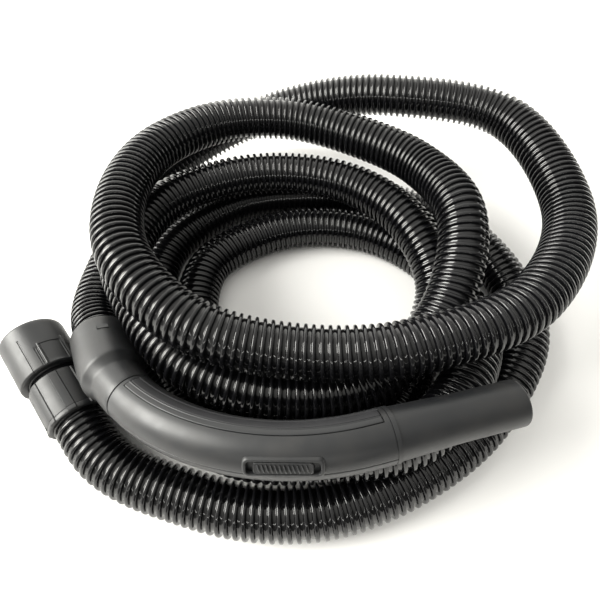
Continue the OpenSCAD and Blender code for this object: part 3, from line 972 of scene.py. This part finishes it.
@dataclass(frozen=True)
class Handle:
    """The bent grip handle: its tube, two shells, pad, strip and end ring.

    Attributes:
        collar_r: Outside radius of the collar.
        collar_bore_r: Radius of its bore.
        collar_l: Length of the collar.
        seat_x: Where the bearing's seat starts.
        seat_end: Where it ends.
        seat_r: Radius of that seat.
        neck_r: Radius of the neck behind the collar.
        neck_end: Where the neck ends and the grip starts.
        duct_r: Outside radius of the duct inside the grip.
        airway_r: Radius of the airway.
        grip_r: Outside radius of the shells.
        shell_bore_r: Their inside radius.
        grip_end: Where the shells end.
        taper_x: Where the taper starts.
        taper_r: Radius at its start.
        spigot_x: Where the taper ends and the spigot starts.
        spigot_r: Radius of the spigot.
        tip: Where the handle ends.
        window: Start and length of the catch windows, and their width.
        window_at: Their angles.
        strip_x: Where the pad and the strip start and end.
        strip_deg: The strip's edges, in degrees.
        pad_deg: The pad's edges.
        strip_rise: Their height over the shell.
        recess: Depth of their seat.
    """

    collar_r: float = 24.0
    collar_bore_r: float = 22.4
    collar_l: float = 52.0
    seat_x: float = 26.3
    seat_end: float = 41.3
    seat_r: float = 16.28
    neck_r: float = 19.5
    neck_end: float = 82.0
    duct_r: float = 16.8
    airway_r: float = 14.0
    grip_r: float = 18.4
    shell_bore_r: float = 16.9
    grip_end: float = 274.0
    taper_x: float = 277.0
    taper_r: float = 17.6
    spigot_x: float = 323.0
    spigot_r: float = 16.0
    tip: float = 368.0
    window: tuple[float, float, float] = (13.7, 5.0, 8.8)
    window_at: tuple[float, float] = (13.0, -167.0)
    strip_x: tuple[float, float] = (86.0, 269.7)
    strip_deg: tuple[float, float] = (-8.0, 7.7)
    pad_deg: tuple[float, float] = (8.3, 32.0)
    strip_rise: float = 0.4
    recess: float = 0.8

    def tube(self, relief: "AirRelief") -> bpy.types.Object:
        """The collar, neck, duct and spigot, moulded in one.

        Args:
            relief: The air relief, whose holes are drilled into the duct.

        Returns:
            The piece.
        """
        r, x, n = self.collar_r, self.collar_l, self.neck_r
        outside = [
            (0.0, self.collar_bore_r + 0.5), (0.0, r - 0.8), (0.25, r - 0.35), (0.9, r - 0.06),
            (1.8, r), (x - 7, r), (x - 2, r - 0.05), (x - 0.4, r - 0.3), (x + 0.6, r - 0.9),
            (x + 2.4, r - 2.0), (x + 4.4, r - 3.1), (x + 6.3, n + 0.5), (x + 7.2, n + 0.15),
            (x + 8.2, n + 0.03), (x + 11.0, n - 0.1), (x + 20.0, n - 0.45),
            (self.neck_end - 0.9, n - 0.68), (self.neck_end - 0.35, n - 0.85),
            (self.neck_end - 0.2, n - 1.2), (self.neck_end - 0.2, self.duct_r),
            (self.taper_x - 0.1, self.duct_r), (self.taper_x, self.duct_r + 0.1),
            (self.taper_x, self.taper_r - 0.25), (self.taper_x + 0.3, self.taper_r),
            (self.spigot_x - 6, self.spigot_r + 0.2), (self.spigot_x, self.spigot_r + 0.02),
            (self.tip - 1.6, self.spigot_r), (self.tip - 0.7, self.spigot_r - 0.12),
            (self.tip - 0.2, self.spigot_r - 0.45), (self.tip, self.spigot_r - 0.9),
            (self.tip, self.airway_r + 0.35), (self.tip - 0.3, self.airway_r + 0.05),
        ]  # fmt: skip
        inside = [
            (self.seat_end, self.airway_r), (self.seat_end, self.seat_r),
            (self.seat_x, self.seat_r), (self.seat_x, self.collar_bore_r),
            (0.5, self.collar_bore_r),
        ]  # fmt: skip
        start, length, width = self.window
        marks = tuple(
            Mark((start - 1.3, start + length + 1.3), (a - 13.5, a + 13.5), 0.0, 0.4)
            for a in self.window_at
        )
        skin = turned_skin(HANDLE_AXIS, outside + inside, marks, r - 0.01, 4.0)
        piece = skinned("handle_body", [(skin, True)], ERODED_ABS)
        ahead, turn = rounded_loop(length / 2, math.degrees(width / 2 / r), 0.8, 4).T
        radii = np.array([self.collar_bore_r - 1.5, r + 2])[:, None]
        windows = [
            HANDLE_AXIS.points(start + length / 2 + ahead, a + turn, radii) for a in self.window_at
        ]
        carve(piece, windows + relief.hole_cutters(self.airway_r, self.duct_r))
        return piece

    def shell(self, name: str, low: float, high: float, seated: bool) -> bpy.types.Object:
        """One grip shell, a long half ring with rounded edges.

        Args:
            name: The piece's name.
            low: Angle where it starts.
            high: Angle where it ends.
            seated: Whether it has the seat of the pad and the strip.

        Returns:
            The piece.
        """
        span = (self.strip_x[0] - 0.4, self.strip_x[1] + 0.4)
        across = (self.strip_deg[0] - 1.0, self.pad_deg[1] + 1.0)
        seat = Mark(span, across, -self.recess, 0.3)
        along_cuts, round_cuts = seat.cuts(self.grip_r) if seated else ([], [])
        ends = (0.25, 0.35), (0.4, 0.12), (0.7, 0.03), (1.1, 0.0)
        body = spaced(self.neck_end + 1.4, self.grip_end - 1.4, 4.0, along_cuts)
        stations = [(self.neck_end + a - 0.2, b) for a, b in ends]
        stations += [(v, 0.0) for v in body]
        stations += [(self.grip_end - a + 0.2, b) for a, b in reversed(ends)]
        edge = math.degrees(1 / self.grip_r)
        gap = 0.12 * edge
        outer = spaced(low + gap + edge, high - gap - edge, 3.6, round_cuts)
        rim = ((0.0, 0.75), (0.06, 0.4), (0.25, 0.12), (0.55, 0.02))
        near = [(low + gap + a * edge, b) for a, b in rim]
        far = [(high - gap - a * edge, b) for a, b in reversed(rim)]
        columns = near + [(v, 0.0) for v in outer] + far
        inner = spaced(low + gap, high - gap, 7.2, [])[::-1]
        along = np.array([s for s, _ in stations])[:, None]
        inset = np.array([i for _, i in stations])[:, None]
        degrees = np.array([d for d, _ in columns] + list(inner))[None, :]
        drop = np.array([d for _, d in columns])[None, :]
        top = self.grip_r - drop - inset
        if seated:
            top = top + seat.lift(along, degrees[:, : len(columns)], self.grip_r)
        under = np.full((len(stations), len(inner)), self.shell_bore_r)
        loops = HANDLE_AXIS.points(along, degrees, np.hstack([top, under]))
        return skinned(name, [(loops, False)], ERODED_ABS)

    def slab(self, name: str, span: tuple[float, float], finish: Moulded) -> bpy.types.Object:
        """The pad or the strip, a long low bar with a fine bead along its inner edge.

        Args:
            name: The piece's name.
            span: Its edges, in degrees.
            finish: Its finish.

        Returns:
            The piece.
        """
        edge = math.degrees(1 / self.grip_r)
        foot, top = self.grip_r - self.recess + 0.1, self.grip_r + self.strip_rise
        rim = ((0.0, -0.55), (0.08, -0.22), (0.3, -0.05), (0.55, 0.0))
        bead = (
            (1.35, 0.0), (1.1, 0.1), (0.85, 0.28), (0.6, 0.34), (0.35, 0.26), (0.12, 0.0),
            (0.0, -0.4),
        )  # fmt: skip
        columns = [(span[0] + a * edge, top + b) for a, b in rim]
        columns += [(v, top) for v in spaced(span[0] + edge, span[1] - 1.8 * edge, 3.0, [])]
        columns += [(span[1] - a * edge, top + b) for a, b in bead]
        columns += [(v, foot) for v in spaced(*span, 6.0, [])[::-1]]
        degrees, radius = np.array(columns).T
        ends = ((0.0, 0.5), (0.15, 0.2), (0.45, 0.05), (0.9, 0.0))
        body = spaced(self.strip_x[0] + 1.2, self.strip_x[1] - 1.2, 4.0, [])
        stations = [(self.strip_x[0] + a, b) for a, b in ends]
        stations += [(v, 0.0) for v in body]
        stations += [(self.strip_x[1] - a, b) for a, b in reversed(ends)]
        along, inset = np.array(stations).T[:, :, None]
        middle_deg = (span[0] + span[1]) / 2
        narrow = 1 - inset * 1.6 * edge / (span[1] - span[0])
        spread = middle_deg + (degrees[None, :] - middle_deg) * narrow
        radii = np.maximum(radius[None, :] - inset * (radius[None, :] > foot + 0.01), foot)
        loops = HANDLE_AXIS.points(along, spread, radii)
        return skinned(name, [(loops, False)], finish)

    def build(self, relief: "AirRelief") -> None:
        """Builds the handle's pieces and dresses the inner ones.

        Args:
            relief: The air relief, whose opening is cut into the upper shell.
        """
        upper = self.shell("grip_upper", -90.0, 90.0, True)
        carve(upper, [relief.opening_cutter(self.shell_bore_r, self.grip_r)])
        tube = self.tube(relief)
        lower = self.shell("grip_lower", 90.0, 270.0, False)
        pad = self.slab("palm_pad", self.pad_deg, SOFT_TPE)
        strip = self.slab("trim_strip", self.strip_deg, DARK_ABS)
        place_piece(tube, Body.HANDLE, "handle_tube")
        place_piece(upper, Body.HANDLE, "grip_shell_upper")
        place_piece(lower, Body.HANDLE, "grip_shell_lower")
        place_piece(pad, Body.HANDLE, "grip_pad")
        place_piece(strip, Body.HANDLE, "grip_strip")
        dress("grip_end_ring", ERODED_ABS)
        dress("handle_swivel", DARK_ABS)
        dress("clip_ring", DARK_ABS)
        dress("handle_seal", PRESSED_NBR)


@dataclass(frozen=True)
class AirRelief:
    """The slide in the grip that lets air in, and its frame.

    Attributes:
        middle: Its middle, along the handle.
        tilt: Its angle from the top; below zero is the outer side of the bend.
        grip_r: Radius of the shell that it sits on.
        frame_l: Length of the frame.
        frame_w: Its width.
        frame_top: Radius of its top.
        opening_l: Length of the opening.
        opening_w: Its width.
        skirt: Width of the frame's skirt inside the shell.
        skirt_r: Radius of the skirt's foot.
        slide_l: Length of the slide.
        slide_w: Its width.
        slide_foot: Radius of its foot.
        slide_top: Radius of its top.
        ridges: Thumb ridges on it.
        ridge_h: Their height.
        ridge_w: Their width.
        slant: Their slant.
        holes: Relief holes in the duct under it.
        hole_r: Radius of a hole.
        hole_step: Distance between two holes.
    """

    middle: float = 208.12
    tilt: float = -70.0
    grip_r: float = 18.4
    frame_l: float = 51.0
    frame_w: float = 13.8
    frame_top: float = 20.4
    opening_l: float = 45.0
    opening_w: float = 8.03
    skirt: float = 1.0
    skirt_r: float = 17.65
    slide_l: float = 36.4
    slide_w: float = 7.45
    slide_foot: float = 16.95
    slide_top: float = 19.6
    ridges: int = 12
    ridge_h: float = 0.55
    ridge_w: float = 1.25
    slant: float = 15.0
    holes: int = 5
    hole_r: float = 3.0
    hole_step: float = 8.0

    def loop(self, outline: np.ndarray, radius: float) -> np.ndarray:
        """An outline of length and width laid on the grip at a radius.

        Args:
            outline: Rows of length and width from the relief's middle.
            radius: Distance from the grip's line.

        Returns:
            Rows of x, y and z.
        """
        axis = HANDLE_AXIS
        shorten = axis.bend_r / (axis.bend_r + self.grip_r * -math.sin(math.radians(self.tilt)))
        turn = np.degrees(outline[:, 1] / self.grip_r)
        return axis.points(self.middle + outline[:, 0] * shorten, self.tilt + turn, radius)

    def loops(self, steps: list[tuple[float, float, float, float]]) -> np.ndarray:
        """Loops from half lengths, half widths, corner radii and radii."""
        return np.stack([self.loop(rounded_loop(a, b, c), r) for a, b, c, r in steps])

    def opening_cutter(self, low: float, high: float) -> np.ndarray:
        """The shape that is cut out of the shell for the frame's skirt."""
        l, w = self.opening_l / 2 + self.skirt + 0.1, self.opening_w / 2 + 0.6
        return self.loops([(l, w, 2.4, low - 1.5), (l, w, 2.4, high + 1.5)])

    def hole_cutters(self, low: float, high: float) -> list[np.ndarray]:
        """The shapes that are drilled out of the duct.

        Args:
            low: Radius of the airway.
            high: Outside radius of the duct.

        Returns:
            The loops of each hole's cutter.
        """
        a = np.radians(np.arange(24) * 15.0)
        circle = np.stack([np.cos(a), np.sin(a)], -1) * self.hole_r
        first = -(self.holes // 2)
        rims = [circle + (i * self.hole_step, 0.0) for i in range(first, first + self.holes)]
        return [np.stack([self.loop(rim, r) for r in (low - 2, high + 1)]) for rim in rims]

    def bezel(self) -> bpy.types.Object:
        """The frame, with a sloped flank outside and round corners.

        Returns:
            The piece.
        """
        l, w, top = self.frame_l / 2, self.frame_w / 2, self.frame_top
        ol, ow = self.opening_l / 2, self.opening_w / 2
        base, skirt = self.grip_r + 0.05, self.skirt_r
        steps = [
            (l, w, 4.0, base), (l - 0.1, w - 0.1, 4.0, base + 0.35),
            (l - 0.6, w - 0.75, 3.8, base + 1.15), (l - 1.0, w - 1.2, 3.5, top - 0.3),
            (l - 1.4, w - 1.5, 3.2, top - 0.06), (l - 1.8, w - 1.85, 2.9, top),
            (ol + 0.55, ow + 0.4, 2.7, top - 0.03), (ol + 0.18, ow + 0.12, 2.4, top - 0.22),
            (ol, ow, 2.2, top - 0.6), (ol, ow, 2.2, skirt), (ol + 0.9, ow + 0.45, 2.4, skirt),
            (ol + 0.9, ow + 0.45, 2.4, base),
        ]  # fmt: skip
        return skinned("relief_frame", [(self.loops(steps), True)], ERODED_ABS)

    def ridge(self, at: float) -> np.ndarray:
        """One slanted thumb ridge, round on top and at both ends.

        Args:
            at: Its place along the slide, from the middle.

        Returns:
            Its loops, by points by three.
        """
        half, lean = self.slide_w / 2 - 1.1, math.tan(math.radians(self.slant))
        floor = self.slide_top - 0.3
        arch = (
            (-1, 0), (-0.95, 0.6), (-0.5, 0.95), (0, 1.0), (0.5, 0.95), (0.95, 0.6), (1, 0),
        )  # fmt: skip
        loops = []
        for t in (-1.0, -0.93, -0.75, 0.0, 0.75, 0.93, 1.0):
            swell = math.sqrt(max(0.0, 1 - abs(t) ** 6)) * 0.9 + 0.1
            width, height = self.ridge_w / 2 * swell, self.ridge_h * swell
            across = t * half
            row = []
            for k, lift in arch:
                spot = np.array([[at - across * lean + k * width, across]])
                row.append(self.loop(spot, floor - 0.2 + (0.2 + height) * lift))
            loops.append(np.concatenate(row))
        return np.stack(loops)

    def slide(self) -> bpy.types.Object:
        """The slide, with a low rim round its thumb ridges.

        Returns:
            The piece.
        """
        l, w, top = self.slide_l / 2, self.slide_w / 2, self.slide_top
        foot = self.slide_foot
        steps = [
            (l + 0.3, w + 0.1, 1.8, foot), (l + 0.3, w + 0.1, 1.8, foot + 0.35),
            (l, w, 1.8, foot + 0.45), (l, w, 1.8, top - 0.45),
            (l - 0.12, w - 0.12, 1.7, top - 0.14), (l - 0.4, w - 0.35, 1.5, top),
            (l - 0.75, w - 0.6, 1.2, top - 0.02), (l - 1.0, w - 0.8, 1.0, top - 0.28),
            (l - 1.4, w - 1.2, 0.8, top - 0.3),
        ]  # fmt: skip
        skins = [(self.loops(steps), False)]
        reach = self.slide_l - 7.0
        for i in range(self.ridges):
            skins.append((self.ridge((i / (self.ridges - 1) - 0.5) * reach), False))
        return skinned("relief_slide", skins, ERODED_ABS)

    def build(self) -> None:
        """Builds the frame and the slide."""
        place_piece(self.bezel(), Body.HANDLE, "vent_bezel")
        place_piece(self.slide(), Body.RELIEF, "air_slide")


# --------------------------------------------------------------------------
# Camera, floor and light
# --------------------------------------------------------------------------


@dataclass(frozen=True)
class Studio:
    """A pale floor under soft light.

    Attributes:
        camera_at: Place of the camera.
        pitch: Degrees that it looks down.
        lens: Focal length.
        sensor: Width of the sensor.
        clip: Nearest and furthest thing that the camera sees, in metres.
        floor_side: Side of the square floor.
        floor_drop: Depth of the floor's top below the part.
        floor_colour: The floor's colour, sRGB hex.
        floor_rough: Its roughness.
        window_deg: Direction of the bright side of the studio, from +X towards +Y.
        round_about: Light of the studio's walls, from the side that faces away from
            the window to the window itself, as (share of the way, strength).
        upwards: Light of the walls from the floor to the ceiling, as (sine of the
            height, share of the wall's strength).
        ceiling: Light from above, as (sine of the height, strength).
        sky: Colour of the light, sRGB hex.
        backdrop: Brightness of the plain wall that stands behind the floor.
        lamps: Lit panels, as name, middle, width and height, and brightness on the
            scale of the walls' light.
    """

    camera_at: tuple[float, float, float] = (53.2, -124.6, 385.0)
    pitch: float = 58.0
    lens: float = 27.0
    sensor: float = 36.0
    clip: tuple[float, float] = (0.01, 50.0)
    floor_side: float = 40000.0
    floor_drop: float = 0.05
    floor_colour: str = "f7f6f5"
    floor_rough: float = 0.6
    window_deg: float = 138.0
    round_about: tuple[tuple[float, float], ...] = (
        (0.0, 0.1), (0.25, 0.2), (0.5, 0.7), (0.7, 1.8), (0.85, 2.8), (1.0, 3.2),
    )  # fmt: skip
    upwards: tuple[tuple[float, float], ...] = (
        (0.0, 0.9), (0.2, 0.9), (0.5, 1.0), (0.62, 0.55), (0.82, 0.4), (1.0, 0.1),
    )  # fmt: skip
    ceiling: tuple[tuple[float, float], ...] = ((0.55, 0.1), (0.85, 0.8), (1.0, 1.1))
    sky: str = "faf9f3"
    backdrop: float = 0.9
    lamps: tuple[tuple[str, tuple[float, ...], tuple[float, ...], float], ...] = (
        ("front_strip", (0.0, -1500.0, 980.0), (1800.0, 50.0), 20.0),
        ("window", (-1950.0, 140.0, 1390.0), (1500.0, 1450.0), 19.0),
        ("side_panel", (1700.0, 650.0, 250.0), (1500.0, 350.0), 3.5),
    )

    def add_camera(self) -> None:
        """Makes the camera and sets it as the scene's."""
        data = bpy.data.cameras.new("camera")
        data.lens, data.sensor_width = self.lens, self.sensor
        data.clip_start, data.clip_end = self.clip
        camera = bpy.data.objects.new("camera", data)
        camera.location = Vector(self.camera_at) * MM
        camera.rotation_euler = (math.radians(90 - self.pitch), 0.0, 0.0)
        bpy.context.scene.collection.objects.link(camera)
        bpy.context.scene.camera = camera

    def add_floor(self) -> None:
        """Makes the floor."""
        half = self.floor_side / 2 * MM
        low = -self.floor_drop * MM
        mesh = bpy.data.meshes.new("floor")
        plan = ((-half, -half), (half, -half), (half, half), (-half, half))
        mesh.from_pydata([(x, y, low) for x, y in plan], [], [(0, 1, 2, 3)])
        material = bpy.data.materials.new("painted_board")
        material.use_nodes = True
        shader = material.node_tree.nodes["Principled BSDF"]
        shader.inputs["Base Color"].default_value = linear(self.floor_colour)
        shader.inputs["Roughness"].default_value = self.floor_rough
        mesh.materials.append(material)
        floor = bpy.data.objects.new("floor", mesh)
        bpy.context.scene.collection.objects.link(floor)

    def add_light(self) -> None:
        """Lights the scene from its surroundings: the walls, the ceiling and the lamps."""
        world = bpy.data.worlds.new("soft_studio")
        world.use_nodes = True
        tree = world.node_tree
        to_window = heading(self.window_deg, 0.0)
        ray = add_node(tree, "ShaderNodeTexCoord").outputs["Generated"]
        facing = add_node(
            tree, "ShaderNodeVectorMath", {0: ray, 1: tuple(to_window)}, operation="DOT_PRODUCT"
        ).outputs["Value"]
        share = add_node(
            tree, "ShaderNodeMapRange", {"Value": facing, "From Min": -1.0, "From Max": 1.0}
        ).outputs["Result"]
        height = add_node(tree, "ShaderNodeSeparateXYZ", {0: ray}).outputs["Z"]
        wall = self.add_curve(tree, share, self.round_about)
        climb = self.add_curve(tree, height, self.upwards)
        walls = add_node(tree, "ShaderNodeMath", {0: wall, 1: climb}, operation="MULTIPLY")
        above = self.add_curve(tree, height, self.ceiling)
        light = add_node(
            tree, "ShaderNodeMath", {0: walls.outputs[0], 1: above}, operation="ADD"
        ).outputs[0]
        sky = tree.nodes["Background"]
        sky.inputs["Color"].default_value = linear(self.sky)
        to_camera = add_node(tree, "ShaderNodeLightPath").outputs["Is Camera Ray"]
        shown = add_node(
            tree, "ShaderNodeMix", {"Factor": to_camera, 2: light, 3: self.backdrop}
        ).outputs[0]
        tree.links.new(shown, sky.inputs["Strength"])
        bpy.context.scene.world = world
        bpy.context.scene.view_settings.view_transform = "Standard"
        for lamp in self.lamps:
            self.add_lamp(*lamp)

    def add_lamp(
        self, name: str, at: tuple[float, ...], size: tuple[float, ...], strength: float
    ) -> None:
        """Adds a lit panel that faces the middle of the floor.

        Args:
            name: The lamp's name.
            at: Its middle.
            size: Its width and its height.
            strength: Its brightness, on the scale of the walls' light.
        """
        data = bpy.data.lights.new(name, "AREA")
        data.shape, data.size, data.size_y = "RECTANGLE", size[0] * MM, size[1] * MM
        data.energy = math.pi * data.size * data.size_y * strength
        data.color = linear(self.sky)[:3]
        lamp = bpy.data.objects.new(name, data)
        lamp.location = Vector(at) * MM
        lamp.rotation_euler = (-lamp.location).to_track_quat("-Z", "Y").to_euler()
        bpy.context.scene.collection.objects.link(lamp)

    def add_curve(
        self, tree: bpy.types.NodeTree, value: bpy.types.NodeSocket, points: tuple
    ) -> bpy.types.NodeSocket:
        """Adds a chain of straight steps between given points.

        Args:
            tree: The node tree.
            value: What is looked up.
            points: Pairs of a value and its result, in order.

        Returns:
            The result's socket.
        """
        total = None
        for (x0, y0), (x1, y1) in zip(points, points[1:]):
            low = y0 if total is None else 0.0
            span = {"From Min": x0, "From Max": x1, "To Min": low, "To Max": y1 - y0 + low}
            step = add_node(tree, "ShaderNodeMapRange", {"Value": value, **span}).outputs["Result"]
            if total is not None:
                both = {0: total, 1: step}
                step = add_node(tree, "ShaderNodeMath", both, operation="ADD").outputs[0]
            total = step
        return total


def main() -> None:
    """Builds the pieces in order."""
    logging.basicConfig(level=logging.INFO, format="%(message)s")
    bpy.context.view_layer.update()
    studio = Studio()
    studio.add_camera()
    RibbedHose().build()
    Connector().build()
    relief = AirRelief()
    Handle().build(relief)
    relief.build()
    studio.add_floor()
    studio.add_light()


if __name__ == "__main__":
    main()
